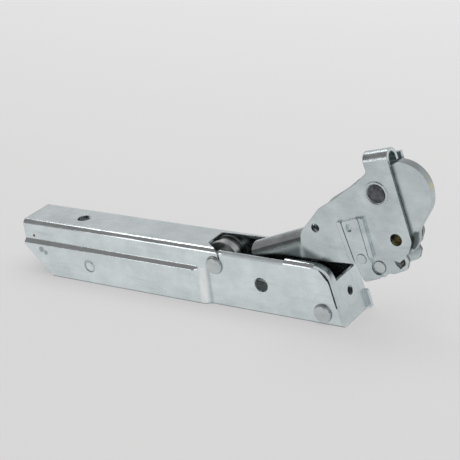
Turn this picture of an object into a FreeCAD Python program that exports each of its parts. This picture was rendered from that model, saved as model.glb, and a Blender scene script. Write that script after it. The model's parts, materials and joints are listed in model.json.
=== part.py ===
import FreeCAD, Part
import math
import os

from FreeCAD import Placement, Rotation, Vector

# Oven door hinge: a folded channel that sits inside the door, a folded arm that swings out of
# it on a rivet, and a spring whose tie rod the arm draws forward as the door comes down.
# The part stands on the lower edges of its channel. X runs along the channel to the hook,
# Y across it, Z up. Places along X are first given from the front of the channel.

os.makedirs("parts", exist_ok=True)
doc = FreeCAD.newDocument("OvenDoorHinge")
sheet = doc.addObject("Spreadsheet::Sheet", "Sizes")

DRIVING_SIZES = {
    "housing_length": 180.0,
    "housing_height": 28.0,
    "housing_width": 22.0,
    "housing_wall": 1.5,
    "bend_radius": 2.6,
    "bulge_depth": 1.8,
    "bulge_drop": 9.4,
    "bulge_slope": 2.4,
    "bulge_end": 79.0,
    "bulge_lean": 5.4,
    "bulge_ramp": 6.0,
    "rear_chamfer": 15.5,
    "front_bend": 9.0,
    "front_lean": 12.0,
    "front_setback": 12.0,
    "slit": 0.8,
    "slot_width": 16.0,
    "slot_floor": 20.5,
    "corner_wrap": 8.5,
    "tab_reach": 1.9,
    "window_rear": 71.2,
    "window_near": 5.0,
    "window_far": 6.8,
    "raw_edge_rear": 60.4,
    "raw_edge_front": 27.6,
    "raw_edge_drop": 0.5,
    "ring_x": 139.4,
    "ring_z": 9.1,
    "ring": 6.2,
    "ring_bore": 4.4,
    "ring_depth": 0.35,
    "fixing_hole_x": 149.0,
    "fixing_hole": 6.8,
    "lock_hole_x": 40.6,
    "lock_hole_z": 14.0,
    "lock_hole": 7.0,
    "front_hole_z": 12.0,
    "front_hole": 4.2,
    "pivot_x": 9.7,
    "pivot_z": 5.3,
    "pivot": 6.0,
    "axle_x": 65.0,
    "axle_drop": 7.8,
    "axle": 6.0,
    "rivet_head": 8.4,
    "rivet_head_height": 1.5,
    "rivet_head_round": 1.0,
    "spacer": 9.6,
    "running_gap": 0.05,
    "side_gap": 0.3,
    "roller": 17.2,
    "roller_groove": 16.0,
    "roller_groove_width": 4.6,
    "roller_width": 7.8,
    "rod_thickness": 4.0,
    "rod_height": 5.0,
    "rod": 6.0,
    "rod_front": 53.0,
    "rod_shoulder": 80.0,
    "rod_rear": 172.0,
    "link_thickness": 1.6,
    "link_height": 4.4,
    "link_crank": 12.0,
    "link_eye": 5.6,
    "link_pin": 3.2,
    "draw_radius": 11.0,
    "draw_angle": 150.0,
    "draw_pin": 4.0,
    "draw_eye": 6.8,
    "draw_eye_ring": 11.6,
    "draw_eye_shift_x": 0.5,
    "draw_eye_shift_z": -0.6,
    "abutment_rear": 89.0,
    "abutment_plate": 2.5,
    "spring": 14.6,
    "spring_wire": 2.4,
    "spring_rear": 160.0,
    "spring_turns": 12.0,
    "cup_plate": 2.0,
    "cup_rim": 3.5,
    "nut": 10.0,
    "nut_height": 4.0,
    "arm_width": 13.0,
    "arm_sheet": 1.5,
    "arm_boss": 10.0,
    "shank_reach": 34.0,
    "shank_narrow": 3.0,
    "shank_hollow": 17.5,
    "shank_top": 19.5,
    "neck_rear": 46.0,
    "neck_front": 19.4,
    "neck_rear_z": 30.6,
    "neck_front_z": 40.8,
    "neck_drop": 3.0,
    "flare": 0.9,
    "neck_lap": 2.5,
    "bridge_rear": 14.9,
    "bridge_length": 11.6,
    "bridge_foot_z": 75.7,
    "bridge_radius": 4.25,
    "bridge_lip": 2.0,
    "bridge_tilt": 13.5,
    "hook_plate": 4.0,
    "nose_reach": 43.4,
    "nose_top": 77.9,
    "hook_pin_x": 19.6,
    "hook_pin_z": 63.3,
    "hook_pin": 8.0,
    "pin_proud": 0.3,
    "collar": 10.8,
    "collar_bore": 9.0,
    "collar_height": 0.5,
    "sleeve_x": 26.9,
    "sleeve_z": 43.5,
    "sleeve_bore": 5.4,
    "sleeve": 7.6,
    "neck_hole_x": 11.7,
    "neck_hole_z": 43.8,
    "neck_hole": 4.0,
    "strap": 1.2,
    "strap_rivet_x": 10.4,
    "strap_rivet_z": 32.9,
    "strap_rivet": 4.4,
    "foot_rivet_x": 18.2,
    "foot_rivet_z": 29.8,
    "foot_rivet": 5.4,
    "rivet_proud": 0.4,
    "rail_width": 2.2,
    "rail_height": 1.3,
}

for row, (alias, value) in enumerate(DRIVING_SIZES.items(), start=1):
    sheet.set(f"A{row}", alias)
    sheet.set(f"B{row}", str(value))
    sheet.setAlias(f"B{row}", alias)
doc.recompute()


def size(alias):
    """The value of one driving dimension, read from the sheet."""
    return float(sheet.get(alias))


# The origin is under the middle of the whole part, so the front of the channel lies at front_x.
front_x = (size("housing_length") - size("nose_reach")) / 2
half_width = size("housing_width") / 2
wall = size("housing_wall")
inner_half = half_width - wall
arm_half = size("arm_width") / 2
arm_inner = arm_half - size("arm_sheet")
pivot_at = (-size("pivot_x"), size("pivot_z"))
axle_at = (-size("axle_x"), size("housing_height") - size("axle_drop"))
rod_top = axle_at[1] - size("roller_groove") / 2 - size("side_gap")
rod_z = rod_top - size("rod_height") / 2
draw_turn = math.radians(size("draw_angle"))
draw_at = (pivot_at[0] + size("draw_radius") * math.cos(draw_turn),
           pivot_at[1] + size("draw_radius") * math.sin(draw_turn))

bulge_top = size("housing_height") - size("bulge_drop")

# A cutting tool runs past the face it opens by a wall's thickness, and two quarter rounds that
# meet leave a hair of straight line between them.
past = wall
HAIR = 0.01

SIDE_VIEW = Rotation(Vector(1, 0, 0), 90)
END_VIEW = Rotation(Vector(1, 1, 1), 120)
TOP_VIEW = Rotation()


def rounded_outline(points):
    """Lines and arcs through points (u, v) or (u, v, r), each corner rounded by its r."""
    corners = []
    for i, point in enumerate(points):
        here = Vector(point[0], point[1], 0)
        before = Vector(*points[i - 1][:2], 0)
        after = Vector(*points[(i + 1) % len(points)][:2], 0)
        radius = point[2] if len(point) > 2 else 0
        if radius == 0:
            corners.append((here, None, here))
            continue
        to_before = (before - here).normalize()
        to_after = (after - here).normalize()
        half_angle = to_before.getAngle(to_after) / 2
        reach = radius / math.tan(half_angle)
        start = here + to_before * reach
        end = here + to_after * reach
        inward = (to_before + to_after).normalize()
        middle = here + inward * (radius / math.sin(half_angle) - radius)
        corners.append((start, middle, end))
    edges = []
    for i, (start, middle, end) in enumerate(corners):
        if middle is not None:
            edges.append(Part.Arc(start, middle, end))
        following = corners[(i + 1) % len(corners)][0]
        if end.distanceToPoint(following) > 1e-6:
            edges.append(Part.LineSegment(end, following))
    return edges


def sketch_on(name, view, base, edges):
    """A closed sketch in the side, end or top view, with its own origin at base."""
    sketch = doc.addObject("Sketcher::SketchObject", name)
    sketch.addGeometry(edges, False)
    sketch.Placement = Placement(base, view)
    return sketch


def extruded(name, sketch, direction, length):
    """The sketch carried straight along a direction for a length, which may be an expression."""
    solid = doc.addObject("Part::Extrusion", name)
    solid.Base = sketch
    solid.DirMode = "Custom"
    solid.Dir = direction
    solid.Solid = True
    if isinstance(length, str):
        solid.setExpression("LengthFwd", length)
    else:
        solid.LengthFwd = length
    return solid


def side_plate(name, points, y_low, thickness):
    """A flat plate with a side-view outline, from y_low towards +Y."""
    base = Vector(front_x, y_low, 0)
    sketch = sketch_on(name + "Outline", SIDE_VIEW, base, rounded_outline(points))
    return extruded(name, sketch, Vector(0, 1, 0), thickness)


def cross_cylinder(name, at, y_low, length, diameter):
    """A cylinder across the part, its diameter given as an expression on the sheet."""
    solid = doc.addObject("Part::Cylinder", name)
    solid.setExpression("Radius", f"({diameter}) / 2")
    solid.Height = length
    solid.Placement = Placement(Vector(front_x + at[0], y_low, at[1]), Rotation(Vector(1, 0, 0), -90))
    return solid


def long_cylinder(name, x_low, length, z, diameter):
    """A cylinder along the part, its diameter given as an expression on the sheet."""
    solid = doc.addObject("Part::Cylinder", name)
    solid.setExpression("Radius", f"({diameter}) / 2")
    solid.Height = length
    solid.Placement = Placement(Vector(front_x + x_low, 0, z), Rotation(Vector(0, 1, 0), 90))
    return solid


def box(name, low, high):
    """A block between two corners, in front-based X."""
    solid = doc.addObject("Part::Box", name)
    solid.Length = high[0] - low[0]
    solid.Width = high[1] - low[1]
    solid.Height = high[2] - low[2]
    solid.Placement.Base = Vector(front_x + low[0], low[1], low[2])
    return solid


def joined(name, *shapes):
    """The union of several solids."""
    union = doc.addObject("Part::MultiFuse", name)
    union.Shapes = list(shapes)
    union.Refine = True
    return union


def grouped(name, *shapes):
    """Separate solids that share one node."""
    group = doc.addObject("Part::Compound", name)
    group.Links = list(shapes)
    return group


def cut(name, base, *tools):
    """The base with the tools taken out of it."""
    rest = doc.addObject("Part::Cut", name)
    rest.Base = base
    rest.Tool = tools[0] if len(tools) == 1 else joined(name + "Tools", *tools)
    rest.Refine = True
    return rest


nodes = []


def finish(solid, label):
    """Gives a finished sub-part its node name."""
    solid.Label = label
    nodes.append(solid)
    return solid


# Housing: the cross-section of the channel, its sides pushed out by depth below a rounded ledge.
# Each step of the ledge is a share of its height and the share of the depth left there.
LEDGE = (0.0, 1.0), (0.14, 0.97), (0.3, 0.84), (0.5, 0.5), (0.7, 0.16), (0.86, 0.03), (1.0, 0.0)


def channel_section(depth):
    height = size("housing_height")
    slope = size("bulge_slope")
    foot = bulge_top - slope
    outer_r = size("bend_radius")
    outside = [(half_width + depth, 0)]
    outside += [(half_width + depth * push, foot + slope * rise) for rise, push in LEDGE]
    outside += [(half_width, height, outer_r)]
    inside = [(inner_half, height - wall, outer_r - wall)]
    inside += [(inner_half + depth * push, foot + slope * rise) for rise, push in reversed(LEDGE)]
    inside += [(inner_half + depth, 0)]
    right = outside + [(-u, v, *r) for u, v, *r in reversed(outside)]
    left = [(-u, v, *r) for u, v, *r in reversed(inside)]
    return right + left + inside


# The bulge ends on a leaning line, so its sections stand on planes that lean back the same way.
lean_turn = math.atan2(size("bulge_lean"), bulge_top)
LEANING_VIEW = Rotation(Vector(0, 1, 0), -math.degrees(lean_turn)).multiply(END_VIEW)


def leaning_section(name, depth, foot_x):
    points = [(u, v / math.cos(lean_turn), *r) for u, v, *r in channel_section(depth)]
    return sketch_on(name, LEANING_VIEW, Vector(front_x + foot_x, 0, 0), rounded_outline(points))


bulge_end = -size("bulge_end")
bulge_foot_end = bulge_end + size("bulge_lean")
ramp_foot_end = bulge_foot_end + size("bulge_ramp")
web_front = -size("front_setback")
web_lag = size("housing_height") * math.tan(lean_turn)
bulged_section = leaning_section("BulgedSection", size("bulge_depth"), bulge_foot_end)
rear_run = extruded("BulgedRun", bulged_section, Vector(-1, 0, 0), size("housing_length") + bulge_foot_end)
plain_section = leaning_section("PlainSection", 0, ramp_foot_end)
front_run = extruded("PlainRun", plain_section, Vector(1, 0, 0), web_front - ramp_foot_end + web_lag)

# The ramp where the bulge runs out rounds over in steps, each a share of its length and the share
# of the depth there.
RAMP = (0.0, 1.0), (0.18, 0.96), (0.36, 0.8), (0.64, 0.2), (0.82, 0.04), (1.0, 0.0)
ramp = doc.addObject("Part::Loft", "BulgeRamp")
ramp.Sections = [leaning_section(f"RampSection{step}", push * size("bulge_depth"),
                                 bulge_foot_end + share * size("bulge_ramp"))
                 for step, (share, push) in enumerate(RAMP)]
ramp.Solid = True
ramp.Ruled = True


# End plate: two strips of the web bend down at the front into a plate that leans out at its foot.
def front_edge(inset, z):
    """X of the end plate's face at height z, set back by inset from its outer face."""
    lean = math.radians(size("front_lean"))
    bend = size("front_bend")
    top_x = web_front + bend * math.cos(lean)
    top_z = size("housing_height") - bend + bend * math.sin(lean)
    return top_x + (top_z - z) * math.tan(lean) - inset / math.cos(lean)


def front_strip():
    height = size("housing_height")
    bend = size("front_bend")
    corner_x = front_edge(0, height)
    inner_corner_x = front_edge(wall, height - wall)
    foot = size("side_gap")
    return [(web_front, height), (corner_x, height, bend), (front_edge(0, foot), foot),
            (front_edge(wall, foot), foot), (inner_corner_x, height - wall, bend - wall),
            (web_front, height - wall)]


bent_strip = side_plate("BentStrip", front_strip(), -half_width, "Sizes.housing_width")

# Each side runs on to a slit behind the end plate, with its top corner cut straight.
slit_inset = wall + size("slit")
side_top = size("housing_height") - size("bend_radius")
corner_top = side_top + size("bend_radius") / 2
corner_wrap = size("corner_wrap")
slot_floor = size("slot_floor")
side_front = [(web_front - past, 0), (front_edge(wall / 2, 0), 0),
              (front_edge(wall / 2, corner_wrap), corner_wrap),
              (front_edge(slit_inset, corner_wrap), corner_wrap, 0.6),
              (front_edge(slit_inset, slot_floor), slot_floor, 3),
              (web_front + wall, corner_top, 1), (web_front - past, corner_top)]
near_front = side_plate("NearFront", side_front, -half_width, "Sizes.housing_wall")
far_front = side_plate("FarFront", side_front, inner_half, "Sizes.housing_wall")

# A small square tab on the far side stands past the end plate.
tab_reach = size("tab_reach")
tab_foot = size("side_gap")
tab = [(front_edge(wall / 2, tab_foot), tab_foot), (front_edge(-tab_reach, tab_foot), tab_foot, 0.5),
       (front_edge(-tab_reach, corner_wrap), corner_wrap, 0.8),
       (front_edge(wall / 2, corner_wrap), corner_wrap)]
far_tab = side_plate("FarTab", tab, inner_half, "Sizes.housing_wall")

# A round mark is pressed into the near side of the bulge.
ring_at = (-size("ring_x"), size("ring_z"))
ring_low = -half_width - size("bulge_depth") - past
ring_reach = past + size("ring_depth")
ring_disc = cross_cylinder("RingDisc", ring_at, ring_low, ring_reach, "Sizes.ring")
ring_middle = cross_cylinder("RingMiddle", ring_at, ring_low, ring_reach, "Sizes.ring_bore")
ring_mark = cut("RingMark", ring_disc, ring_middle)

blank = joined("HousingBlank", rear_run, ramp, front_run, near_front, far_front)

# The window in the web lets the roller and the arm's neck through, and runs on as the front slot.
slot_half = size("slot_width") / 2
window_rear = -size("window_rear")
raw_rear = -size("raw_edge_rear")
raw_front = -size("raw_edge_front")
past_front = size("nose_reach")
window = [(window_rear, -size("window_near"), 1), (window_rear, size("window_far"), 1),
          (raw_rear + slot_half, slot_half), (past_front, slot_half), (past_front, -slot_half),
          (raw_front, -slot_half), (raw_front, -half_width - past), (raw_rear, -half_width - past)]
window_sketch = sketch_on("WindowOutline", TOP_VIEW, Vector(front_x, 0, slot_floor), rounded_outline(window))
window_cut = extruded("Window", window_sketch, Vector(0, 0, 1), "Sizes.housing_height")
keep_side = box("KeptSide", (raw_rear - past, -half_width, 0),
                (raw_front + past, -inner_half, size("housing_height") - size("raw_edge_drop")))
window_tool = cut("WindowTool", window_cut, keep_side)

chamfer = size("rear_chamfer")
rear = -size("housing_length")
rear_waste = rear - size("bulge_lean") - web_lag
above = size("housing_height") + past
chamfer_cut = side_plate("RearChamfer", [(rear_waste, -past), (rear + chamfer, -past), (rear + chamfer, 0),
                                         (rear, chamfer), (rear, above), (rear_waste, above)],
                         -half_width * 2, half_width * 4)
fit = "2 * Sizes.running_gap"
across = 2 * (half_width + past)
lock_hole_at = (-size("lock_hole_x"), size("lock_hole_z"))
side_holes = [
    cross_cylinder("LockHole", lock_hole_at, -across / 2, across, "Sizes.lock_hole"),
    cross_cylinder("PivotHole", pivot_at, -across / 2, across, f"Sizes.pivot + {fit}"),
    cross_cylinder("AxleHole", axle_at, -across / 2, across, f"Sizes.axle + {fit}"),
]
fixing_hole = doc.addObject("Part::Cylinder", "FixingHole")
fixing_hole.setExpression("Radius", "Sizes.fixing_hole / 2")
fixing_hole.setExpression("Height", "4 * Sizes.housing_wall")
fixing_hole_z = size("housing_height") - 2 * wall
fixing_hole.Placement.Base = Vector(front_x - size("fixing_hole_x"), 0, fixing_hole_z)
front_hole = doc.addObject("Part::Cylinder", "FrontHole")
front_hole.setExpression("Radius", "Sizes.front_hole / 2")
front_hole.setExpression("Height", "4 * Sizes.housing_wall")
front_hole_base = Vector(front_x + front_edge(2 * wall, size("front_hole_z")), 0, size("front_hole_z"))
front_hole.Placement = Placement(front_hole_base, Rotation(Vector(0, 1, 0), 90 - size("front_lean")))
housing_tools = [bent_strip, window_tool, chamfer_cut, ring_mark, *side_holes, fixing_hole]
finish(cut("Housing", blank, *housing_tools), "housing")
end_plate_blank = joined("EndPlateBlank", bent_strip, far_tab)
finish(cut("EndPlate", end_plate_blank, window_tool, front_hole), "end_plate")


def turned(name, at, profile):
    """A profile (radius, y) turned about an axis across the part."""
    centre = Vector(front_x + at[0], 0, at[1])
    solid = doc.addObject("Part::Revolution", name)
    solid.Source = sketch_on(name + "Profile", TOP_VIEW, centre, rounded_outline(profile))
    solid.Axis = Vector(0, 1, 0)
    solid.Base = centre
    solid.Angle = 360
    solid.Solid = True
    return solid


# Rivets: a shank across both sides with a low domed head on each.
def rivet(name, at, diameter_alias):
    shank = size(diameter_alias) / 2
    head = size("rivet_head") / 2
    rise = size("rivet_head_height")
    reach = half_width + rise
    rounding = size("rivet_head_round")
    profile = [(0, -reach), (head, -reach, rounding), (head, -half_width), (shank, -half_width),
               (shank, half_width), (head, half_width), (head, reach, rounding), (0, reach)]
    return turned(name, at, profile)


finish(rivet("PivotRivet", pivot_at, "pivot"), "pivot_rivet")
finish(rivet("RollerAxle", axle_at, "axle"), "roller_axle")


# Spacer tubes centre the arm on its rivet and the roller on its axle.
def spacer_pair(name, at, bore_alias, inner_y):
    length = inner_half - inner_y
    tubes = []
    for side, y_low in (("Near", -inner_half), ("Far", inner_y)):
        outer = cross_cylinder(name + side, at, y_low, length, "Sizes.spacer")
        bore = cross_cylinder(name + side + "Bore", at, y_low, length, f"Sizes.{bore_alias} + {fit}")
        tubes.append(cut(name + side + "Tube", outer, bore))
    return grouped(name, *tubes)


finish(spacer_pair("PivotSpacers", pivot_at, "pivot", arm_half + size("side_gap")), "pivot_spacers")
roller_half = size("roller_width") / 2
finish(spacer_pair("AxleSpacers", axle_at, "axle", roller_half + size("side_gap")), "axle_spacers")

# Guide roller: a flanged roller whose groove rides over the tie rod's flat.
groove_half = size("roller_groove_width") / 2
flange_r = size("roller") / 2
bore_r = size("axle") / 2 + size("running_gap")
roller_profile = [(bore_r, -roller_half), (flange_r, -roller_half, 0.4), (flange_r, -groove_half, 0.3),
                  (size("roller_groove") / 2, -groove_half), (size("roller_groove") / 2, groove_half),
                  (flange_r, groove_half, 0.3), (flange_r, roller_half, 0.4), (bore_r, roller_half)]
finish(turned("GuideRoller", axle_at, roller_profile), "guide_roller")

# Tie rod: a flat front end with an eye, then a round shank through the spring.
rod_front = -size("rod_front")
rod_shoulder = -size("rod_shoulder")
rod_rear = -size("rod_rear")
rod_half = size("rod_height") / 2
rod_tip = rod_front + rod_half
flat_outline = [(rod_shoulder, rod_z - rod_half), (rod_tip, rod_z - rod_half, rod_half - HAIR),
                (rod_tip, rod_z + rod_half, rod_half - HAIR), (rod_shoulder, rod_z + rod_half)]
rod_flat = side_plate("RodFlat", flat_outline, -size("rod_thickness") / 2, "Sizes.rod_thickness")
shank_length = rod_shoulder - rod_rear + size("side_gap")
rod_shank = long_cylinder("RodShank", rod_rear, shank_length, rod_z, "Sizes.rod")
rod_eye_at = (rod_front, rod_z)
rod_eye = cross_cylinder("RodEye", rod_eye_at, -size("rod_thickness"), 2 * size("rod_thickness"),
                         f"Sizes.link_pin + {fit}")
finish(cut("TieRod", joined("RodBlank", rod_flat, rod_shank), rod_eye), "tie_rod")

# Draw link: a pair of flat links from the tie rod's eye to the arm's draw pin, cranked down so
# that a pin pushed through the locking holes passes over them.
eye_at = (draw_at[0] + size("draw_eye_shift_x"), draw_at[1] + size("draw_eye_shift_z"))
link_inner = size("rod_thickness") / 2 + size("side_gap") / 2
link_drop = size("lock_hole_z") - size("lock_hole") / 2 - 2 * size("side_gap") - size("link_height")
bar_half = size("link_height") / 2
crank_x = -size("lock_hole_x")
link_outline = [(rod_front, rod_z - bar_half), (crank_x, link_drop, size("link_crank")),
                (eye_at[0], eye_at[1] - bar_half), (eye_at[0], eye_at[1] + bar_half),
                (crank_x, link_drop + 2 * bar_half, size("link_crank")), (rod_front, rod_z + bar_half)]
link_sheet = size("link_thickness")
links = []
for side, y_low in (("Near", -link_inner - link_sheet), ("Far", link_inner)):
    bar = side_plate("LinkBar" + side, link_outline, y_low, "Sizes.link_thickness")
    rear_eye = cross_cylinder("LinkRear" + side, rod_eye_at, y_low, link_sheet, "Sizes.link_eye")
    front_eye = cross_cylinder("LinkFront" + side, eye_at, y_low, link_sheet, "Sizes.draw_eye_ring")
    rear_bore = cross_cylinder("LinkRearBore" + side, rod_eye_at, y_low, link_sheet,
                               f"Sizes.link_pin + {fit}")
    front_bore = cross_cylinder("LinkFrontBore" + side, eye_at, y_low, link_sheet, "Sizes.draw_eye")
    link_blank = joined("LinkBlank" + side, bar, rear_eye, front_eye)
    links.append(cut("Link" + side, link_blank, rear_bore, front_bore))
finish(grouped("DrawLink", *links), "draw_link")

pin_half = link_inner + link_sheet + size("side_gap")
finish(cross_cylinder("LinkPin", rod_eye_at, -pin_half, 2 * pin_half, "Sizes.link_pin"), "link_pin")
finish(cross_cylinder("DrawPin", draw_at, -arm_half, 2 * arm_half, "Sizes.draw_pin"), "draw_pin")

# Spring abutment: a folded bracket whose wings bear on the shoulder where the bulge ends.
abutment_rear = -size("abutment_rear")
abutment_half = inner_half + size("bulge_depth") - size("side_gap")
abutment_top = bulge_top - size("bulge_slope") - size("side_gap")
abutment_foot = wall
abutment_base = box("AbutmentBase", (abutment_rear, -abutment_half, abutment_foot),
                    (abutment_rear + size("abutment_plate"), abutment_half, abutment_top))
wing_end = bulge_end - size("side_gap")
near_wing = box("NearWing", (abutment_rear, -abutment_half, abutment_foot),
                (wing_end, -abutment_half + wall, abutment_top))
far_wing = box("FarWing", (abutment_rear, abutment_half - wall, abutment_foot),
               (wing_end, abutment_half, abutment_top))
rod_pass = long_cylinder("RodPass", abutment_rear - past, size("abutment_plate") + 2 * past, rod_z,
                         "Sizes.rod + 2 * Sizes.side_gap")
abutment = joined("AbutmentBlank", abutment_base, near_wing, far_wing)
finish(cut("SpringAbutment", abutment, rod_pass), "spring_abutment")

# Main spring: a round-wire compression spring between the abutment and the cup.
wire = size("spring_wire")
coil_r = (size("spring") - wire) / 2
coil_rear = -size("spring_rear") + wire / 2
coil_length = abutment_rear - wire / 2 - coil_rear
helix = doc.addObject("Part::Helix", "SpringPath")
helix.Height = coil_length
helix.setExpression("Pitch", f"{coil_length} / Sizes.spring_turns")
helix.setExpression("Radius", "(Sizes.spring - Sizes.spring_wire) / 2")
helix.Placement = Placement(Vector(front_x + coil_rear, 0, rod_z), Rotation(Vector(0, 1, 0), 90))
wire_section = doc.addObject("Part::Circle", "SpringWire")
wire_section.setExpression("Radius", "Sizes.spring_wire / 2")
wire_start = Vector(front_x + coil_rear, 0, rod_z - coil_r)
wire_section.Placement = Placement(wire_start, SIDE_VIEW)
spring = doc.addObject("Part::Sweep", "MainSpring")
spring.Sections = [wire_section]
spring.Spine = (helix, [])
spring.Solid = True
spring.Frenet = True
finish(spring, "main_spring")

# Spring cup: a dished seat at the rod's rear, held by a pair of lock nuts.
cup_front = -size("spring_rear") - size("side_gap") / 3
cup_rear = cup_front - size("cup_plate")
cup_disc = long_cylinder("CupDisc", cup_rear, size("cup_plate") + size("cup_rim"), rod_z,
                         "Sizes.spring + 2 * Sizes.housing_wall")
cup_recess = long_cylinder("CupRecess", cup_front, size("cup_rim") + past, rod_z,
                           "Sizes.spring + Sizes.side_gap")
cup_bore = long_cylinder("CupBore", cup_rear - past, size("cup_plate") + 2 * past, rod_z,
                         f"Sizes.rod + {fit}")
finish(cut("SpringCup", cup_disc, cup_recess, cup_bore), "spring_cup")

nuts = []
for index in range(2):
    nut_rear = cup_rear - (index + 1) * size("nut_height")
    prism = doc.addObject("Part::Prism", f"Nut{index}")
    prism.Polygon = 6
    prism.setExpression("Circumradius", "Sizes.nut / 2 / cos(30 deg)")
    prism.setExpression("Height", "Sizes.nut_height")
    prism.Placement = Placement(Vector(front_x + nut_rear, 0, rod_z), Rotation(Vector(0, 1, 0), 90))
    nut_bore = long_cylinder(f"NutBore{index}", nut_rear - past, size("nut_height") + 2 * past, rod_z,
                             f"Sizes.rod + {fit}")
    nuts.append(cut(f"LockNut{index}", prism, nut_bore))
finish(grouped("LockNuts", *nuts), "lock_nuts")


# Arm bracket: two cheeks, each a hooked plate that runs back from the rivet, up through the
# window and forward over the end plate.
def along_shank(distance, offset):
    """A point on the arm's shank, from the pivot along it and square to it."""
    turn = math.radians(size("draw_angle"))
    x = pivot_at[0] + distance * math.cos(turn) - offset * math.sin(turn)
    z = pivot_at[1] + distance * math.sin(turn) + offset * math.cos(turn)
    return x, z


boss = size("arm_boss") / 2
neck_rear = -size("neck_rear")
neck_front = -size("neck_front")
neck_tilt = math.atan2(size("neck_front_z") - size("neck_rear_z"), neck_front - neck_rear)
spring_line = arm_half / math.cos(neck_tilt)
flare_start = neck_front - size("flare")
bridge_rear = size("bridge_rear")
bridge_tilt = math.radians(size("bridge_tilt"))
bridge_front = bridge_rear + size("bridge_length") * math.cos(bridge_tilt)
bridge_foot_rear = size("bridge_foot_z")
bridge_foot_front = bridge_foot_rear + size("bridge_length") * math.sin(bridge_tilt)

# The cheeks' freehand edges: up the back to the bridge, then down the front, round a lug and
# back along the foot.
CHEEK_BACK = [(-9.1, 53.0, 4), (-0.2, 58.9, 4), (5.1, 63.4, 3), (10.1, 66.7, 4), (15.8, 72.2, 2)]
CHEEK_FRONT = [(34.0, 43.2, 4), (32.4, 38.6, 1.5), (31.0, 36.8, 0.6), (32.2, 34.6, 1), (31.0, 30.4, 1.5)]
CHEEK_FOOT = [(28.6, 29.2, 1), (24.6, 27.4, 2), (22.6, 27.6, 1.5), (19.6, 24.6, 2), (14.0, 28.0, 2),
              (7.0, 29.4, 3), (-16.5, 28.0, 6)]
LUG_NOTCH = [(25.1, 33.8, 0.3), (27.7, 33.2, 0.4), (30.1, 35.4, 0.3), (30.6, 32.8, 0.6), (27.9, 30.2, 0.6),
             (26.2, 31.7, 0.8)]
neck_floor = size("neck_rear_z") - spring_line
cheek_outline = [
    (*along_shank(-boss, boss), boss - HAIR),
    (*along_shank(size("arm_boss"), boss), size("arm_boss")),
    (*along_shank(size("shank_reach"), size("shank_narrow")), 4),
    (neck_rear, size("shank_top"), 2),
    (neck_rear, neck_floor),
    (flare_start, neck_floor + (flare_start - neck_rear) * math.tan(neck_tilt)),
    (neck_front, size("neck_front_z"), 8),
    *CHEEK_BACK,
    (bridge_rear, bridge_foot_rear),
    (bridge_front, bridge_foot_front),
    *CHEEK_FRONT,
    *CHEEK_FOOT,
    (*along_shank(size("shank_hollow"), -boss), 5),
    (*along_shank(-boss, -boss), boss - HAIR),
]
cheek_plate = side_plate("CheekPlate", cheek_outline, -arm_half, "Sizes.arm_sheet")
lug_notch = side_plate("LugNotch", LUG_NOTCH, -arm_half, "Sizes.arm_sheet")
near_cheek = cut("NearCheek", cheek_plate, lug_notch)
far_cheek = side_plate("FarCheek", cheek_outline, arm_inner, "Sizes.arm_sheet")

# The neck: a half-round back that joins the cheeks along the top of the gooseneck and laps in
# between them.
neck_length = (neck_front - neck_rear + size("neck_lap")) / math.cos(neck_tilt)
neck_base = Vector(front_x + neck_rear, 0, neck_floor)
neck_along = Vector(math.cos(neck_tilt), 0, math.sin(neck_tilt))
neck_turn = Rotation(Vector(0, 1, 0), -math.degrees(neck_tilt)).multiply(END_VIEW)
neck_drop = size("neck_drop")
outer_round = arm_half - HAIR
inner_round = arm_inner - HAIR
neck_profile = [(arm_half, -neck_drop), (arm_half, arm_half, outer_round), (-arm_half, arm_half, outer_round),
                (-arm_half, -neck_drop), (-arm_inner, -neck_drop), (-arm_inner, arm_inner, inner_round),
                (arm_inner, arm_inner, inner_round), (arm_inner, -neck_drop)]
neck_sketch = sketch_on("NeckSection", neck_turn, neck_base, rounded_outline(neck_profile))
neck = extruded("Neck", neck_sketch, neck_along, neck_length)

# The bridge: the near cheek's sheet rolled over the top, its lip coming down behind the hook plate.
bridge_base = Vector(front_x + bridge_rear, 0, bridge_foot_rear)
bridge_along = Vector(math.cos(bridge_tilt), 0, math.sin(bridge_tilt))
bridge_turn = Rotation(Vector(0, 1, 0), -size("bridge_tilt")).multiply(END_VIEW)
bridge_r = size("bridge_radius")
roll_inner = bridge_r - size("arm_sheet")
lip_outer = 2 * bridge_r - arm_half
lip_inner = lip_outer - size("arm_sheet")
lip_end = -size("bridge_lip")
overlap = size("arm_sheet") / 8
outer_roll = bridge_r - HAIR
inner_roll = roll_inner - HAIR
bridge_profile = [(-arm_half, -overlap), (-arm_half, bridge_r, outer_roll), (lip_outer, bridge_r, outer_roll),
                  (lip_outer, lip_end), (lip_inner, lip_end), (lip_inner, roll_inner, inner_roll),
                  (-arm_inner, roll_inner, inner_roll), (-arm_inner, -overlap)]
bridge_sketch = sketch_on("BridgeSection", bridge_turn, bridge_base, rounded_outline(bridge_profile))
bridge = extruded("Bridge", bridge_sketch, bridge_along, "Sizes.bridge_length")

# Two pressed rails on the near cheek guide the strap between them.
STRAP_REAR = (2.0, 48.8), (7.0, 31.0)
STRAP_FRONT = (10.0, 51.8), (13.6, 34.0)
rails = []
for side, ((top_x, top_z), (low_x, low_z)), outward in (("Rear", STRAP_REAR, -1), ("Front", STRAP_FRONT, 1)):
    shift = outward * (size("rail_width") + size("side_gap"))
    clear = outward * size("side_gap")
    rail_outline = [(top_x + clear, top_z), (top_x + shift, top_z, 0.6), (low_x + shift, low_z, 0.6),
                    (low_x + clear, low_z)]
    rail_low = -arm_half - size("rail_height")
    rails.append(side_plate("Rail" + side, rail_outline, rail_low, "Sizes.rail_height"))

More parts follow.
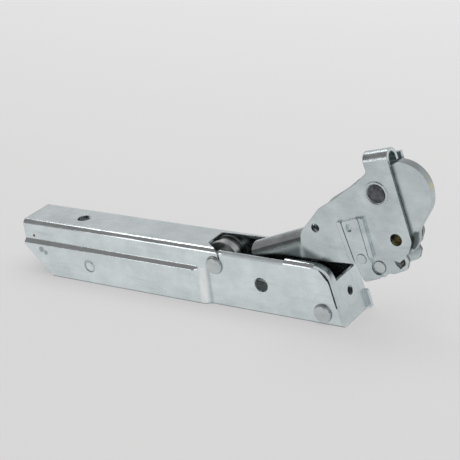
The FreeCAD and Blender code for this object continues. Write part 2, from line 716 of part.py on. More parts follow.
# A low ring stands round the hook pin on each cheek.
hook_pin_at = (size("hook_pin_x"), size("hook_pin_z"))
collar_height = size("collar_height")
collars = []
for side, y_low in (("Near", -arm_half - collar_height), ("Far", arm_half)):
    disc = cross_cylinder("CollarDisc" + side, hook_pin_at, y_low, collar_height, "Sizes.collar")
    middle = cross_cylinder("CollarBore" + side, hook_pin_at, y_low, collar_height, "Sizes.collar_bore")
    collars.append(cut("Collar" + side, disc, middle))

arm_across = 2 * size("arm_width")
sleeve_at = (size("sleeve_x"), size("sleeve_z"))
foot_rivet_at = (size("foot_rivet_x"), size("foot_rivet_z"))
strap_rivet_at = (size("strap_rivet_x"), size("strap_rivet_z"))
arm_blank = joined("ArmBlank", near_cheek, far_cheek, neck, bridge, *rails, *collars)
neck_hole_at = (-size("neck_hole_x"), size("neck_hole_z"))
arm_low = -arm_across / 2
arm_holes = [
    cross_cylinder("ArmPivotHole", pivot_at, arm_low, arm_across, f"Sizes.pivot + {fit}"),
    cross_cylinder("ArmDrawHole", draw_at, arm_low, arm_across, f"Sizes.draw_pin + {fit}"),
    cross_cylinder("ArmHookHole", hook_pin_at, arm_low, arm_across, f"Sizes.hook_pin + {fit}"),
    cross_cylinder("ArmSleeveHole", sleeve_at, arm_low, arm_across, "Sizes.sleeve_bore"),
    cross_cylinder("ArmNeckHole", neck_hole_at, arm_low, arm_across, "Sizes.neck_hole"),
    cross_cylinder("ArmFootHole", foot_rivet_at, arm_low, arm_across, f"Sizes.foot_rivet + {fit}"),
    cross_cylinder("ArmStrapHole", strap_rivet_at, arm_low, arm_across / 2, f"Sizes.strap_rivet + {fit}"),
]
finish(cut("ArmBracket", arm_blank, *arm_holes), "arm_bracket")

# Hook plate: the thick rounded nose held between the cheeks.
nose_x = size("nose_reach")
nose_top = size("nose_top")
HOOK_TOP = [(20.0, 75.4, 2), (27.0, 76.2, 1), (30.0, nose_top, 1.2)]
HOOK_FRONT = [(36.4, 47.8, 3), (35.6, 41.6, 3), (33.4, 38.0, 2), (28.0, 36.4, 3)]
HOOK_FOOT = [(22.5, 28.5, 4), (14.4, 28.4, 3), (9.0, 36.0, 5), (6.0, 50.0, 6), (12.0, 66.0, 5)]
hook_outline = [*HOOK_TOP, (nose_x, nose_top, 13), (nose_x, 59.5, 12), *HOOK_FRONT, *HOOK_FOOT]
hook_y = -arm_inner + size("side_gap")
hook_sheet = size("hook_plate")
hook_far = hook_y + hook_sheet
hook_blank = side_plate("HookBlank", hook_outline, hook_y, "Sizes.hook_plate")
hook_holes = [
    cross_cylinder("HookPinHole", hook_pin_at, hook_y, hook_sheet, f"Sizes.hook_pin + {fit}"),
    cross_cylinder("HookSleeveHole", sleeve_at, hook_y, hook_sheet, f"Sizes.sleeve + {fit}"),
    cross_cylinder("HookFootHole", foot_rivet_at, hook_y, hook_sheet, f"Sizes.foot_rivet + {fit}"),
]
finish(cut("HookPlate", hook_blank, *hook_holes), "hook_plate")

# Spacer rings fill the cheeks' inner width behind the hook plate.
ring_length = arm_inner - hook_far
hook_spacers = []
for label, at, bore in (("Pin", hook_pin_at, "Sizes.hook_pin"), ("Foot", foot_rivet_at, "Sizes.foot_rivet")):
    outer = cross_cylinder(f"{label}Ring", at, hook_far, ring_length, f"{bore} + 2 * Sizes.arm_sheet")
    inner = cross_cylinder(f"{label}RingBore", at, hook_far, ring_length, f"{bore} + {fit}")
    hook_spacers.append(cut(f"{label}Spacer", outer, inner))
finish(grouped("HookSpacers", *hook_spacers), "hook_spacers")

# Pins and rivets of the arm.
hook_pin_half = arm_half + size("pin_proud")
hook_pin = cross_cylinder("HookPin", hook_pin_at, -hook_pin_half, 2 * hook_pin_half, "Sizes.hook_pin")
finish(hook_pin, "hook_pin")
foot_half = arm_half + size("rivet_proud")
foot_rivet = cross_cylinder("FootRivet", foot_rivet_at, -foot_half, 2 * foot_half, "Sizes.foot_rivet")
finish(foot_rivet, "foot_rivet")
strap_face = arm_half + size("strap")
strap_rivet_face = strap_face + size("pin_proud")
finish(cross_cylinder("StrapRivet", strap_rivet_at, -strap_rivet_face, strap_rivet_face - arm_inner,
                      "Sizes.strap_rivet"), "strap_rivet")

sleeve_tube = cross_cylinder("SleeveTube", sleeve_at, -arm_inner, 2 * arm_inner, "Sizes.sleeve")
sleeve_bore = cross_cylinder("SleeveBore", sleeve_at, -arm_inner, 2 * arm_inner, "Sizes.sleeve_bore")
finish(cut("YellowSleeve", sleeve_tube, sleeve_bore), "yellow_sleeve")

# Strap: a flat strip on the near cheek, cranked at its foot and pierced near its head.
STRAP_FOOT = [(19.7, 25.4, 1.2), (10.8, 22.1, 1.2)]
STRAP_SLOT = [(4.6, 44.4, 1.2), (7.2, 45.2, 1.2), (6.6, 48.6, 1.2), (4.0, 47.8, 1.2)]
strap_outline = [(*STRAP_REAR[0], 1.2), (*STRAP_FRONT[0], 1.2), (*STRAP_FRONT[1], 6), *STRAP_FOOT,
                 (*STRAP_REAR[1], 6)]
strap_blank = side_plate("StrapBlank", strap_outline, -strap_face, "Sizes.strap")
strap_hole = cross_cylinder("StrapRivetHole", strap_rivet_at, -strap_face, size("strap"),
                            f"Sizes.strap_rivet + {fit}")
strap_slot = side_plate("StrapSlot", STRAP_SLOT, -strap_face, "Sizes.strap")
foot_relief = cross_cylinder("StrapFootRelief", foot_rivet_at, -strap_face, size("strap"),
                             "Sizes.foot_rivet + 4 * Sizes.side_gap")
finish(cut("Strap", strap_blank, strap_hole, strap_slot, foot_relief), "strap")

doc.recompute()

for item in doc.Objects:
    if "Invalid" in item.State or "Error" in item.State:
        raise RuntimeError(f"{item.Label} failed: {item.State}")
for node in nodes:
    if node.Shape.isNull() or not node.Shape.isValid():
        raise RuntimeError(f"{node.Label} has no valid shape")
    print(f"{node.Label}: {len(node.Shape.Solids)} solids, {node.Shape.Volume:.1f} mm3")
for node in nodes:
    node.Shape.exportStep(f"parts/{node.Label}.step")
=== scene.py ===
# %% [markdown]
# # An oven door hinge in plated steel
# The hinge is folded from zinc-plated sheet: a channel that hides in the door, and an arm that
# swings out of it. The solid pieces arrive at their true size and place as a fixed frame, and this
# lesson dresses them: it softens the sheet's edges in the shading, paints each finish with nodes,
# adds two small pieces, and sets a plain table and soft light around the part.

import json
import math

import bpy
import numpy as np
from mathutils import Matrix, Vector


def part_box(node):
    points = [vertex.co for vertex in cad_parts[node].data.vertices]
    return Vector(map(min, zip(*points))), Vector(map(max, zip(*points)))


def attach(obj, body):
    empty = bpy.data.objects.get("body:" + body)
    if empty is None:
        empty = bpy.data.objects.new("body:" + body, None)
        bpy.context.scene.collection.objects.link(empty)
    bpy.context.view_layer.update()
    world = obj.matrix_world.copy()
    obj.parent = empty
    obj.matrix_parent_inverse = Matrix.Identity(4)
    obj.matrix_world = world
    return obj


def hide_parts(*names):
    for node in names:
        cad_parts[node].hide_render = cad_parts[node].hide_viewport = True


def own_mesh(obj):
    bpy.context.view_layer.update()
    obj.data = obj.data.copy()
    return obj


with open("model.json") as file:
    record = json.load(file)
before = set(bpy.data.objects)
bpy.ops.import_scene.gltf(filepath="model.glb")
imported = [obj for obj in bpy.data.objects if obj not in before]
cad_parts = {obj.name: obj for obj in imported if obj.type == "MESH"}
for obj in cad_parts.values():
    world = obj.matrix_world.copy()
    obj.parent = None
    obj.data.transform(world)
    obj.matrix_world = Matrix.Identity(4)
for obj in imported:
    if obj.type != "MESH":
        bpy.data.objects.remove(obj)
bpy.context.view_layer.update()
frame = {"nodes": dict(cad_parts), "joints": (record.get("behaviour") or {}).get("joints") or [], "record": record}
MM = 0.001
print("nodes in the frame:", sorted(frame["nodes"]))

# %% [markdown]
# ## A wire that can be added and multiplied
# A finish is a small formula: a base tone, a cloud of paler tone, a speck of rust. Nodes can be
# placed one at a time, but then the formula is hard to see. Here one class wraps a socket, so that
# `1 - cloud * 0.3` reads as maths and adds the Math nodes by itself. Every other node comes from
# its one `node` method.


# %% The wire class
class Wire:
    """A socket in a material: sums, differences, products and quotients of wires add Math nodes."""

    def __init__(self, tree, socket):
        self.tree = tree
        self.socket = socket

    def feed(self, target, value):
        """Links a wire into a socket, or sets the socket to a plain value."""
        if isinstance(value, Wire):
            self.tree.links.new(value.socket, target)
        else:
            target.default_value = value

    def node(self, kind, settings, sockets, output=0):
        """Adds a node, sets its settings first, then its sockets, and returns one output."""
        made = self.tree.nodes.new(kind)
        for name, value in settings.items():
            setattr(made, name, value)
        for name, value in sockets.items():
            self.feed(made.inputs[name], value)
        return Wire(self.tree, made.outputs[output])

    def math(self, operation, first, second):
        """Adds one Math node."""
        return self.node("ShaderNodeMath", {"operation": operation}, {0: first, 1: second})

    def __add__(self, other):
        return self.math("ADD", self, other)

    def __sub__(self, other):
        return self.math("SUBTRACT", self, other)

    def __rsub__(self, other):
        return self.math("SUBTRACT", other, self)

    def __mul__(self, other):
        return self.math("MULTIPLY", self, other)

    def __truediv__(self, other):
        return self.math("DIVIDE", self, other)

    def ramp(self, low, high):
        """0 below low, 1 above high, and a smooth step between them."""
        return self.node("ShaderNodeMapRange", {"interpolation_type": "SMOOTHSTEP"},
                         {"Value": self, "From Min": low, "From Max": high})

    def mix(self, first, second):
        """The colour that goes from first to second as this mask goes from 0 to 1."""
        return self.node("ShaderNodeMix", {"data_type": "RGBA"}, {0: self, 6: first, 7: second}, 2)


# %% [markdown]
# ## Patterns that the finishes share
# Plating is never one flat tone. It has clouds a few millimetres across, a fine grain, grey smears
# and faint streaks along the sheet. All are noise read in the part's own coordinates, so they stay
# on the metal in every view, and only their scale and stretch differ.


# %% Noise, clouds and spots
def rgba(red, green, blue):
    """An opaque colour."""
    return (red, green, blue, 1.0)


def noise(place, size, stretch=(1, 1, 1), detail=3.0):
    """Noise whose features are about `size` metres across, squeezed by `stretch` along X, Y and Z."""
    squeezed = place.node("ShaderNodeVectorMath", {"operation": "MULTIPLY"}, {0: place, 1: stretch})
    return place.node("ShaderNodeTexNoise", {}, {"Vector": squeezed, "Scale": 1 / size, "Detail": detail})


def along(place, axis):
    """One coordinate of a place or a direction."""
    return place.node("ShaderNodeSeparateXYZ", {}, {"Vector": place}, axis)


def distance_to(place, centre):
    """Metres from each point of the surface to one place on the part."""
    return place.node("ShaderNodeVectorMath", {"operation": "DISTANCE"}, {0: place, 1: centre}, "Value")


def spot(place, centre, radius, ragged=0.35):
    """1 inside a rough-edged spot, falling to 0 at its rim."""
    wobble = noise(place, radius * 0.8) * (2 * ragged) + (1 - ragged)
    return 1 - (distance_to(place, centre) / (wobble * radius)).ramp(0.55, 1.0)


def new_finish(name):
    """An empty material: its shader node, and a wire that carries the part's own coordinates."""
    material = bpy.data.materials.new(name)
    material.use_nodes = True
    tree = material.node_tree
    shader = tree.nodes["Principled BSDF"]
    coordinates = tree.nodes.new("ShaderNodeTexCoord")
    return material, shader, Wire(tree, coordinates.outputs["Object"])


# How far the Bevel node rounds an edge. It bends the shading only, not the shape.
EDGE_ROUND = 0.5 * MM


def apply_finish(shader, place, colour, roughness, bump_height=None, bump_depth=0.0, **uniform):
    """Feeds what varies over the surface, and sets what is the same all over on the shader itself."""
    place.feed(shader.inputs["Base Color"], colour)
    place.feed(shader.inputs["Roughness"], roughness)
    for name, value in uniform.items():
        shader.inputs[name.replace("_", " ").title()].default_value = value
    if bump_height is not None:
        rounded = place.node("ShaderNodeBevel", {"samples": 6}, {"Radius": EDGE_ROUND})
        normal = place.node("ShaderNodeBump", {}, {"Height": bump_height, "Distance": bump_depth,
                                                   "Strength": 1.0, "Normal": rounded})
        place.feed(shader.inputs["Normal"], normal)


# %% [markdown]
# ## Zinc-plated sheet
# Bright zinc is a metal with a cold, slightly blue tone and a satin surface. It could be one grey
# with one roughness, but then large flat faces look like plastic. Clouds of two tones, thin smears
# of grease, a fine grain in the roughness and a very shallow bump give the face its quiet life.
# Where the sheet bends it is rubbed smoother, except along the stretch where its edge is raw.

# %% The zinc finishes
ZINC_PALE = rgba(0.77, 0.84, 0.86)
ZINC_DEEP = rgba(0.64, 0.705, 0.725)
# A dark tone for thin grease smears, and also for all the painted shade below.
GREASE_AND_SHADE = rgba(0.055, 0.072, 0.072)
ARM_PALE = rgba(0.73, 0.80, 0.81)
ARM_DEEP = rgba(0.58, 0.645, 0.66)
CHANNEL_PALE = rgba(0.87, 0.94, 0.955)
CHANNEL_DEEP = rgba(0.73, 0.80, 0.82)
# A pale tone painted on as a highlight along the pressed step's crest.
PAINTED_HIGHLIGHT = rgba(0.98, 1.0, 1.0)
RUST = rgba(0.16, 0.085, 0.05)
SMUDGE = rgba(0.43, 0.47, 0.47)
SHADE = rgba(0.15, 0.17, 0.17)
CHROMATE = rgba(0.58, 0.58, 0.44)
CLOUD_SIZE = 12 * MM
SPANGLE_SIZE = 3 * MM
GRAIN_SIZE = 0.5 * MM
SMEAR_SIZE = 22 * MM
STREAK_SIZE = 2.5 * MM
SKIN_DEPTH = 0.02 * MM
# Between these two places along X the sides end in a raw edge, not in a bend.
RAW_EDGE = 8.2 * MM, 40.4 * MM
RAW_BLUR = 0.3 * MM


def between(value, low, high, blur):
    """1 where a value lies between low and high, falling to 0 over a blur's width outside them."""
    return value.ramp(low - blur, low) * (1 - value.ramp(high, high + blur))


def bends(place):
    """1 where the sheet turns over: its normal is neither level nor upright."""
    facing = Wire(place.tree, place.socket.node.outputs["Normal"])
    upright = place.math("ABSOLUTE", along(facing, "Z"), 0.0)
    return upright.ramp(0.06, 0.16) * (1 - upright.ramp(0.96, 0.99))


def zinc_finish(name, pale, deep, roughness, marks=(), painted_shade_zone=None, burnish=0.0, painted_highlight_zone=None):
    """Plated steel: clouds and spangle in two tones, thin greasy smears, then a painted highlight, painted shade
    and marks.
    """
    material, shader, place = new_finish(name)
    cloud = noise(place, CLOUD_SIZE, detail=4.0).ramp(0.35, 0.68)
    spangle = noise(place, SPANGLE_SIZE, stretch=(0.6, 1, 1), detail=2.0).ramp(0.4, 0.65)
    grain = noise(place, GRAIN_SIZE, detail=2.0)
    smear = noise(place, SMEAR_SIZE, stretch=(0.5, 1, 1.6), detail=6.0).ramp(0.48, 0.72)
    streak = noise(place, STREAK_SIZE, stretch=(0.07, 1, 1), detail=2.0).ramp(0.58, 0.70)
    tone = (cloud * 0.65 + spangle * 0.35).mix(deep, pale)
    tone = (smear * 0.10 + streak * 0.06).mix(tone, GREASE_AND_SHADE)
    # A painted highlight, laid over the tone.
    if painted_highlight_zone:
        tone = painted_highlight_zone(place).mix(tone, PAINTED_HIGHLIGHT)
    # Painted shade, laid over the tone.
    if painted_shade_zone:
        tone = painted_shade_zone(place).mix(tone, GREASE_AND_SHADE)
    for centre, radius, colour in marks:
        tone = spot(place, centre, radius).mix(tone, colour)
    satin = grain * 0.10 + spangle * 0.06 + (roughness - 0.08)
    texture = grain + spangle * 0.5
    if burnish:
        rubbed = bends(place)
        raw = between(along(place, "X"), *RAW_EDGE, RAW_BLUR)
        satin = satin * (1 - rubbed * (1 - raw) * burnish) + rubbed * raw * 0.3
        texture = texture * (1 - rubbed * 0.8)
    apply_finish(shader, place, tone, satin, texture, SKIN_DEPTH, metallic=1.0)
    return material


# %% [markdown]
# ## Where shade and light are painted on the zinc
# Inside the channel and along its bottom edge the zinc is painted dark as shade. The arm's cut cheek
# edges, which are raw sheet, are painted dark as shade too, its drawn neck is painted dark below a
# sloping line, and a band of painted shade lies below a soft crease that runs from the neck's end down
# the cheek. Round the rivets lies a dark ring, partly grease and partly painted shade, and the stamped
# ring is darker along its line. The pressed step has a painted highlight on its crest and painted
# shade at its foot, and the hook plate is painted a little darker, as shade, behind its near face.
# Each zone is a product of ramps along X, Y and Z or away from a centre.

# %% The dull zones
STAMPED_RING = -71.1 * MM, 0, 9.1 * MM
RING_LINE = 2.8 * MM, 3.1 * MM
NECK_X, NECK_Z, NECK_SLOPE = 22.3 * MM, 30.6 * MM, 0.383
CREASE_X, CREASE_SLOPE = 49.8 * MM, 0.44


def darkest(place, *zones):
    """The strongest of several masks at each point."""
    strongest = zones[0]
    for zone in zones[1:]:
        strongest = place.math("MAXIMUM", strongest, zone)
    return strongest


def across_from(place, centre):
    """Metres from a line that runs across the part through a centre."""
    flat = place.node("ShaderNodeVectorMath", {"operation": "MULTIPLY"}, {0: place, 1: (1, 0, 1)})
    return distance_to(flat, (centre[0], 0, centre[2]))


def rim_grime_and_shade(place, node):
    """A dark ring on the sheet, just outside a round head: a greasy joint and painted shade from the gap."""
    low, high = (np.array(corner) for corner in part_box(node))
    reach = (high[0] - low[0]) / 2
    return 1 - across_from(place, (low + high) / 2).ramp(reach + 0.15 * MM, reach + 0.5 * MM)


def channel_painted_shade(place):
    """Painted shade inside the channel, along its lower edge, at the step's foot and round two rivets' rims; a
    darker line along the stamped ring.
    """
    across = place.math("ABSOLUTE", along(place, "Y"), 0.0)
    height = along(place, "Z")
    # Painted shade inside the channel.
    inside = (1 - across.ramp(9.7 * MM, 9.9 * MM)) * (1 - height.ramp(26.6 * MM, 26.8 * MM)) * 0.85
    # A painted contact shadow along the channel's bottom edge.
    edge_shade = (1 - height.ramp(0.25 * MM, 0.6 * MM)) * 0.55
    # Grease and painted shade round two rivet heads.
    rims = rim_grime_and_shade(place, "pivot_rivet") * 0.55, rim_grime_and_shade(place, "roller_axle") * 0.55
    # Painted shade at the foot of the pressed step.
    foot = between(along(place, "X"), -1.2 * MM, -0.3 * MM, 0.7 * MM) * pressed_end(place) * 0.25
    near_side = 1 - along(place, "Y").ramp(-1 * MM, 0)
    stamped_ring = between(across_from(place, STAMPED_RING), *RING_LINE, 0.3 * MM) * 0.4 * near_side
    return darkest(place, inside, edge_shade, foot, stamped_ring, *rims)


def pressed_end(place):
    """The outer skin of the sides, up to the height of the pressed step."""
    across = place.math("ABSOLUTE", along(place, "Y"), 0.0)
    return across.ramp(10.8 * MM, 10.95 * MM) * (1 - along(place, "Z").ramp(17 * MM, 18.5 * MM))


def step_crest_highlight(place):
    """A painted highlight along the crest at the front end of the pressed step."""
    return between(along(place, "X"), -4.9 * MM, -3.2 * MM, 1.5 * MM) * pressed_end(place) * 0.85


def arm_painted_shade(place):
    """Painted shade on the cut edges of both cheeks, on the neck below a sloping line, below the crease and round
    a rivet's rim.
    """
    across = place.math("ABSOLUTE", along(place, "Y"), 0.0)
    # Painted shade on the cheeks' cut edges, which are also raw sheet.
    edge_shade = between(across, 5.1 * MM, 6.3 * MM, 0.1 * MM) * (1 - along(place, "Z").ramp(75 * MM, 77 * MM))
    forward = along(place, "X")
    above_neck_line = along(place, "Z") - NECK_Z - (forward - NECK_X) * NECK_SLOPE
    # Painted shade on the neck below a sloping line.
    neck = (1 - forward.ramp(46.5 * MM, 50 * MM)) * (1 - above_neck_line.ramp(-8.5 * MM, -1.5 * MM))
    crease = along(place, "Z") + (forward - CREASE_X) * CREASE_SLOPE
    # Painted shade below the crease.
    under_crease = (1 - crease.ramp(31.8 * MM, 35.6 * MM)) * forward.ramp(46 * MM, 51 * MM)
    # Grease and painted shade round a rivet head.
    rim = rim_grime_and_shade(place, "foot_rivet")
    return darkest(place, edge_shade * 0.7, neck * 0.88, under_crease * 0.8, rim * 0.45)


def hook_rim_shade(place):
    """Painted shade, a little darker, on the hook plate behind its near face."""
    return along(place, "Y").ramp(-4.66 * MM, -4.5 * MM) * 0.2


# %% The zinc pieces
# Each mark is a centre in metres, a radius and a colour.
SHEET_MARKS = [
    ((-0.1060, -0.0110, 0.0200), 0.9 * MM, RUST),
    ((-0.1010, -0.0128, 0.0140), 2.0 * MM, SMUDGE),
    ((-0.0985, -0.0128, 0.0125), 1.6 * MM, SMUDGE),
    # A spot of painted shade.
    ((0.0905, -0.0065, 0.0667), 0.7 * MM, SHADE),
]
HOOK_MARKS = [
    # Three spots of painted shade on the hook's lower lobe.
    ((0.1041, -0.0047, 0.0460), 2.3 * MM, SHADE),
    ((0.1035, -0.0047, 0.0436), 2.7 * MM, SHADE),
    ((0.1025, -0.0047, 0.0412), 2.5 * MM, SHADE),
    ((0.1093, -0.0027, 0.0760), 2.4 * MM, CHROMATE),
    ((0.1112, -0.0027, 0.0725), 2.4 * MM, CHROMATE),
    ((0.1119, -0.0027, 0.0680), 2.4 * MM, CHROMATE),
]
zinc_sheet = zinc_finish("zinc_sheet", ZINC_PALE, ZINC_DEEP, 0.30, SHEET_MARKS)
hook_zinc = zinc_finish("hook_zinc", ARM_PALE, ARM_DEEP, 0.34, HOOK_MARKS, hook_rim_shade)
arm_zinc = zinc_finish("arm_zinc", ARM_PALE, ARM_DEEP, 0.28, SHEET_MARKS, arm_painted_shade)
zinc_part = zinc_finish("zinc_part", rgba(0.70, 0.75, 0.76), rgba(0.58, 0.62, 0.63), 0.30)
channel_zinc = zinc_finish("channel_zinc", CHANNEL_PALE, CHANNEL_DEEP, 0.30, SHEET_MARKS, channel_painted_shade,
                           burnish=0.55, painted_highlight_zone=step_crest_highlight)
print("zinc finishes:", zinc_sheet.name, hook_zinc.name, arm_zinc.name, zinc_part.name, channel_zinc.name)

# %% [markdown]
# ## The darker and warmer metals
# The hook's pin is phosphated nearly black, the spring is oiled steel, and the sleeve has a yellow
# passivation on the upper half of its middle and is dark brown over the rest. The roller is pale on
# one half and near black on the other. Each is a metal with its own tones and its own cloud.


# %% Pin, spring, sleeve and roller finishes
def plain_metal(name, pale, deep, cloud_size, roughness):
    """A metal whose tone drifts between two colours in clouds of one size."""
    material, shader, place = new_finish(name)
    cloud = noise(place, cloud_size, detail=4.0).ramp(0.35, 0.65)
    grain = noise(place, 0.4 * MM, detail=2.0)
    satin = grain * 0.12 + (roughness - 0.06)
    apply_finish(shader, place, cloud.mix(deep, pale), satin, grain, 0.015 * MM, metallic=1.0)
    return material


def sleeve_metal():
    """Yellow plating on the upper half of the sleeve's middle, and dark brown over the rest."""
    material, shader, place = new_finish("yellow_zinc")
    yellow_zone = along(place, "Y").ramp(-1.8 * MM, -0.8 * MM) * along(place, "Z").ramp(42.6 * MM, 44.0 * MM)
    cloud = noise(place, 1.2 * MM).ramp(0.40, 0.65)
    dark_rest = cloud.mix(rgba(0.05, 0.05, 0.035), rgba(0.22, 0.20, 0.09))
    apply_finish(shader, place, yellow_zone.mix(dark_rest, rgba(0.66, 0.54, 0.18)), 0.36, metallic=1.0)
    return material


def roller_metal_finish():
    """Pale metal on the near half of the roller's width, and near black on the far half."""
    material, shader, place = new_finish("roller_metal")
    cloud = noise(place, 3 * MM).ramp(0.35, 0.65)
    near_tone = cloud.mix(rgba(0.55, 0.58, 0.57), rgba(0.74, 0.77, 0.77))
    far_tone = cloud.mix(rgba(0.07, 0.085, 0.085), rgba(0.17, 0.19, 0.19))
    far_half = along(place, "Y").ramp(-0.4 * MM, 0.9 * MM)
    apply_finish(shader, place, far_half.mix(near_tone, far_tone), cloud * 0.1 + 0.3, metallic=1.0)
    return material


dark_pin = plain_metal("dark_pin", rgba(0.15, 0.155, 0.17), rgba(0.075, 0.08, 0.09), 2 * MM, 0.42)
spring_steel = plain_metal("spring_steel", rgba(0.33, 0.33, 0.34), rgba(0.20, 0.20, 0.21), 4 * MM, 0.34)
yellow_zinc = sleeve_metal()
roller_metal = roller_metal_finish()
FINISHES = {"zinc_sheet": zinc_sheet, "zinc_part": zinc_part, "dark_pin": dark_pin,
            "yellow_zinc": yellow_zinc, "spring_steel": spring_steel}
OWN_FINISHES = {"guide_roller": roller_metal, "hook_plate": hook_zinc, "housing": channel_zinc,
                "arm_bracket": arm_zinc, "strap": arm_zinc}
print("other finishes:", dark_pin.name, spring_steel.name, yellow_zinc.name, roller_metal.name)

# %% [markdown]
# ## Every solid takes the finish of its slot
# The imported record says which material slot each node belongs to, so one loop dresses them all. Five
# nodes take a finish whose zones are placed for their own shape.

# %% Dress the nodes
node_slots = {row["node"]: row["material_slot"] for row in frame["record"]["subparts"]}
for name, solid in frame["nodes"].items():
    solid.data.materials.clear()
    solid.data.materials.append(OWN_FINISHES.get(name) or FINISHES[node_slots[name]])
print("slots:", node_slots)

# %% [markdown]
# ## The cup in the lug
# At the arm's lower corner the sheet has a small pressed lug, and the notch in it ends in a dished
# floor, whose dark metal is painted shade. A flat patch would do from one side, but a dish catches a
# dark side and a spark of light as pressed metal does. It is a set of rings: the notch's outline
# shrunk towards its middle, each ring deeper than the last.

# %% A surface of rings
def ringed_piece(name, rows, material, body):
    """Joins each closed ring of points to the next with quads, closes both ends, and rides on a body."""
    count = rows.shape[1]
    index = np.arange(rows.shape[0] * count).reshape(-1, count)
    onward = np.roll(index, -1, 1)
    quads = np.stack([index[:-1], onward[:-1], onward[1:], index[1:]], axis=-1)
    faces = quads.reshape(-1, 4).tolist() + [index[0][::-1].tolist(), index[-1].tolist()]
    mesh = bpy.data.meshes.new(name)
    mesh.from_pydata(rows.reshape(-1, 3).tolist(), [], faces)
    mesh.polygons.foreach_set("use_smooth", np.ones(len(mesh.polygons), bool))
    mesh.materials.append(material)
    piece = bpy.data.objects.new(name, mesh)
    bpy.context.scene.collection.objects.link(piece)
    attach(piece, body)
    print(name, "has", len(mesh.polygons), "faces")
    return piece


# %% The lug's cup
LUG_NOTCH = np.array([(25.1, 33.8), (27.7, 33.2), (30.1, 35.4),
                      (30.6, 32.8), (27.9, 30.2), (26.2, 31.7)]) * MM
LUG_MIDDLE = np.array((28.2, 32.3)) * MM
FRONT_X = 68.3 * MM
CHEEK_FACE = -6.5 * MM
CUP_INSET = 0.1 * MM


def closed_outline(corners, count):
    """Points evenly spaced round a polygon, each then averaged with its neighbours to round the corners."""
    loop = np.vstack([corners, corners[:1]])
    travelled = np.concatenate([[0], np.cumsum(np.linalg.norm(np.diff(loop, axis=0), axis=1))])
    places = np.linspace(0, travelled[-1], count, endpoint=False)
    points = np.column_stack([np.interp(places, travelled, loop[:, axis]) for axis in range(2)])
    return (points + np.roll(points, 1, axis=0) + np.roll(points, -1, axis=0)) / 3


def lug_cup(count=48, rings=9, depth=1.3 * MM, sheet=0.25 * MM):
    """Rings share * outline about the middle, sunk by depth * (1 - share squared), and a skin behind."""
    outline = closed_outline(LUG_NOTCH, count)
    share = np.linspace(1, 0.04, rings)[:, None]
    plan = LUG_MIDDLE + share[:, :, None] * (outline - LUG_MIDDLE)
    sink = np.broadcast_to(depth * (1 - share ** 2), (rings, count))
    front = np.stack([plan[..., 0] + FRONT_X, CHEEK_FACE + CUP_INSET + sink, plan[..., 1]], axis=-1)
    back = front[::-1] + np.array((0, sheet, 0))
    return np.concatenate([front[::-1], back[::-1]])


# The cup's dark metal is painted shade in the notch.
lug_shade_metal = plain_metal("lug_shade_metal", rgba(0.34, 0.36, 0.35), rgba(0.10, 0.11, 0.10), 1.5 * MM, 0.24)
ringed_piece("lug_cup", lug_cup(), lug_shade_metal, "arm")

# %% [markdown]
# ## A spring of round wire
# The coil sits between a fixed bracket and a cup on the sliding rod. A rigid coil would run into the
# cup as the arm comes down. This piece stands for the solid one, which is hidden, and rides on the
# housing, but it keeps its length as the rod slides. It is one round wire carried along a helix: at
# each step of the turn, a ring of points stands square to the path.

# %% The coil
SPRING_WIRE = 2.4 * MM
SPRING_TURNS = 12


def coil_rings(low, high, steps_a_turn=40, sides=14):
    """Helix x = start + pitch * turn, round the box's axis; each ring is out * cos + across * sin."""
    turn = np.linspace(0, 2 * np.pi * SPRING_TURNS, SPRING_TURNS * steps_a_turn + 1)[:, None]
    middle = (low + high) / 2
    radius = (high[1] - low[1] - SPRING_WIRE) / 2
    run = high[0] - low[0] - SPRING_WIRE
    level = np.zeros_like(turn)
    out = np.concatenate([level, np.sin(turn), -np.cos(turn)], axis=1)
    path = radius * out + middle * (0, 1, 1) + (low[0] + SPRING_WIRE / 2 + run * turn / turn[-1]) * (1, 0, 0)
    onward = np.concatenate([level + run / turn[-1], radius * np.cos(turn), radius * np.sin(turn)], axis=1)
    across = np.cross(onward / np.linalg.norm(onward, axis=1, keepdims=True), out)
    round_wire = np.linspace(0, 2 * np.pi, sides, endpoint=False)[None, :, None]
    ring = np.cos(round_wire) * out[:, None] + np.sin(round_wire) * across[:, None]
    return path[:, None] + SPRING_WIRE / 2 * ring


spring_low, spring_high = (np.array(corner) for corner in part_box("main_spring"))
coil = ringed_piece("coil", coil_rings(spring_low, spring_high), spring_steel, "housing")
rod_travel = next(joint for joint in frame["joints"] if joint["name"] == "rod_slide")["range_m"][1]
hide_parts("main_spring")
float(1 - rod_travel / (spring_high[0] - spring_low[0]))
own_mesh(coil)
print("spring shortens by", rod_travel, "m of", spring_high[0] - spring_low[0])

# %% [markdown]
# ## Table, light and camera
# The part lies on a pale seamless table under soft light; the paper is painted paler towards the
# back as painted light. The flat faces of the metal mirror the table in front and the wall behind, so
# those are pale too, and far away the table fades into the backdrop.

# %% The table
BACKDROP = rgba(0.80, 0.80, 0.80)
TABLE_REACH = 6.0


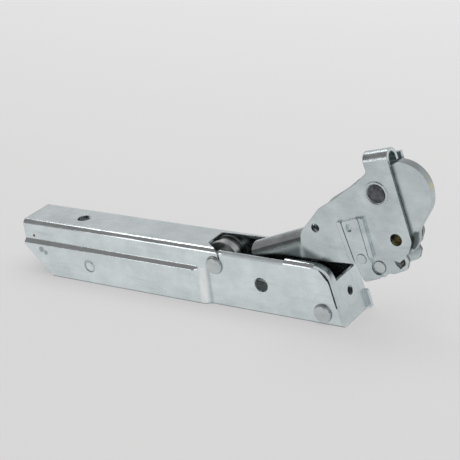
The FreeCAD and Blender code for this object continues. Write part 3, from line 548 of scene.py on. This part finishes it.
def pale_table(half_size):
    """A flat square table with painted light, paler towards the back, whose paper also glows to the camera and in
    the metal.
    """
    corners = np.array([(-1, -1, 0), (1, -1, 0), (1, 1, 0), (-1, 1, 0)], float) * half_size
    mesh = bpy.data.meshes.new("table")
    mesh.from_pydata(corners.tolist(), [], [(0, 1, 2, 3)])
    table = bpy.data.objects.new("table", mesh)
    bpy.context.scene.collection.objects.link(table)
    material, shader, place = new_finish("table_paper")
    # Painted light: the paper is paler towards the back.
    depth = along(place, "Y").ramp(-0.2, 1.2)
    paper = depth.mix(rgba(0.74, 0.74, 0.74), rgba(0.98, 0.98, 0.98))
    apply_finish(shader, place, paper, 0.9)
    seen = place.node("ShaderNodeLightPath", {}, {}, "Is Camera Ray")
    mirrored = place.node("ShaderNodeLightPath", {}, {}, "Is Glossy Ray")
    far = distance_to(place, (0, 0, 0)).ramp(0.75, 1.6)
    near_glow = depth.mix(rgba(0.69, 0.69, 0.69), rgba(0.95, 0.95, 0.95))
    glow = place.node("ShaderNodeEmission", {}, {"Color": far.mix(near_glow, BACKDROP)})
    lit = Wire(place.tree, shader.outputs["BSDF"])
    glowing = seen * (far * 0.45 + 0.55) + mirrored * 0.8
    surface = place.node("ShaderNodeMixShader", {}, {0: glowing, 1: lit, 2: glow})
    place.feed(place.tree.nodes["Material Output"].inputs["Surface"], surface)
    mesh.materials.append(material)


pale_table(TABLE_REACH)

# %% [markdown]
# The room is pale low down behind the part and dark on the camera's side and overhead, as a studio
# is. So a flat face mirrors paper, and a bend, which mirrors everything from wall to floor within a
# few millimetres, shows a dark core with bright borders. Four lamps light it: a key behind on the
# left, a side lamp and a panel in front, and a large one overhead. The last gives the soft shadow,
# and is hidden from the metal's reflections so that it does not whiten the web.

# %% The light
WALL = rgba(0.60, 0.60, 0.60)
ROOM = rgba(0.24, 0.225, 0.225)


def studio_world():
    """A room whose brightness depends on the heading: pale low at the back, dark elsewhere and far left."""
    world = bpy.data.worlds.new("studio")
    world.use_nodes = True
    tree = world.node_tree
    heading = Wire(tree, tree.nodes.new("ShaderNodeTexCoord").outputs["Generated"])
    back = along(heading, "Y").ramp(-0.25, 0.3)
    high = along(heading, "Z").ramp(0.50, 0.68)
    right = along(heading, "X").ramp(-0.85, -0.62)
    seen = heading.node("ShaderNodeLightPath", {}, {}, "Is Camera Ray")
    room = (back * (1 - high) * right).mix(ROOM, WALL)
    heading.feed(tree.nodes["Background"].inputs["Color"], seen.mix(room, BACKDROP))
    bpy.context.scene.world = world


studio_world()


def soft_lamp(name, place, aim, width, watts):
    """A square lamp that faces a point."""
    lamp = bpy.data.lights.new(name, "AREA")
    lamp.shape = "SQUARE"
    lamp.size = width
    lamp.energy = watts
    holder = bpy.data.objects.new(name, lamp)
    holder.location = place
    holder.rotation_euler = (Vector(aim) - Vector(place)).to_track_quat("-Z", "Y").to_euler()
    bpy.context.scene.collection.objects.link(holder)
    return holder


soft_lamp("key", place=(-0.77, 0.44, 1.09), aim=(0, 0, 0), width=0.4, watts=1.4)
soft_lamp("side", place=(-0.77, -1.15, 0.26), aim=(0, 0, 0.02), width=0.35, watts=0.7)
soft_lamp("panel", place=(0.70, -1.15, 0.50), aim=(0, 0, 0.02), width=0.9, watts=2.3)
overhead = soft_lamp("overhead", place=(0.2, 0.2, 1.8), aim=(0, 0, 0), width=2.2, watts=27.0)
overhead.visible_glossy = False

# %% The camera
CAMERA_TARGET = Vector((0.00672, 0.0, 0.03332))
CAMERA_DISTANCE = 0.61277
CAMERA_AZIMUTH = math.radians(36.690)
CAMERA_ELEVATION = math.radians(23.413)
CAMERA_ROLL = math.radians(-8.097)
SENSOR = 36.0
LENS = 105.56


def photo_camera():
    """A camera that looks at the target from an azimuth and an elevation, rolled about its line of sight."""
    back = Vector((math.sin(CAMERA_AZIMUTH) * math.cos(CAMERA_ELEVATION),
                   -math.cos(CAMERA_AZIMUTH) * math.cos(CAMERA_ELEVATION),
                   math.sin(CAMERA_ELEVATION)))
    lens = bpy.data.cameras.new("camera")
    lens.sensor_width = SENSOR
    lens.lens = LENS
    lens.clip_start = 0.01
    camera = bpy.data.objects.new("camera", lens)
    level = back.to_track_quat("Z", "Y").to_matrix().to_4x4()
    standing = Matrix.Translation(CAMERA_TARGET + back * CAMERA_DISTANCE)
    camera.matrix_world = standing @ level @ Matrix.Rotation(CAMERA_ROLL, 4, "Z")
    bpy.context.scene.collection.objects.link(camera)
    bpy.context.scene.camera = camera
    return camera


camera = photo_camera()
bpy.context.scene.view_settings.view_transform = "Standard"
print("camera at", [round(value, 4) for value in camera.matrix_world.translation])
print("camera right", [round(value, 4) for value in camera.matrix_world.col[0][:3]])
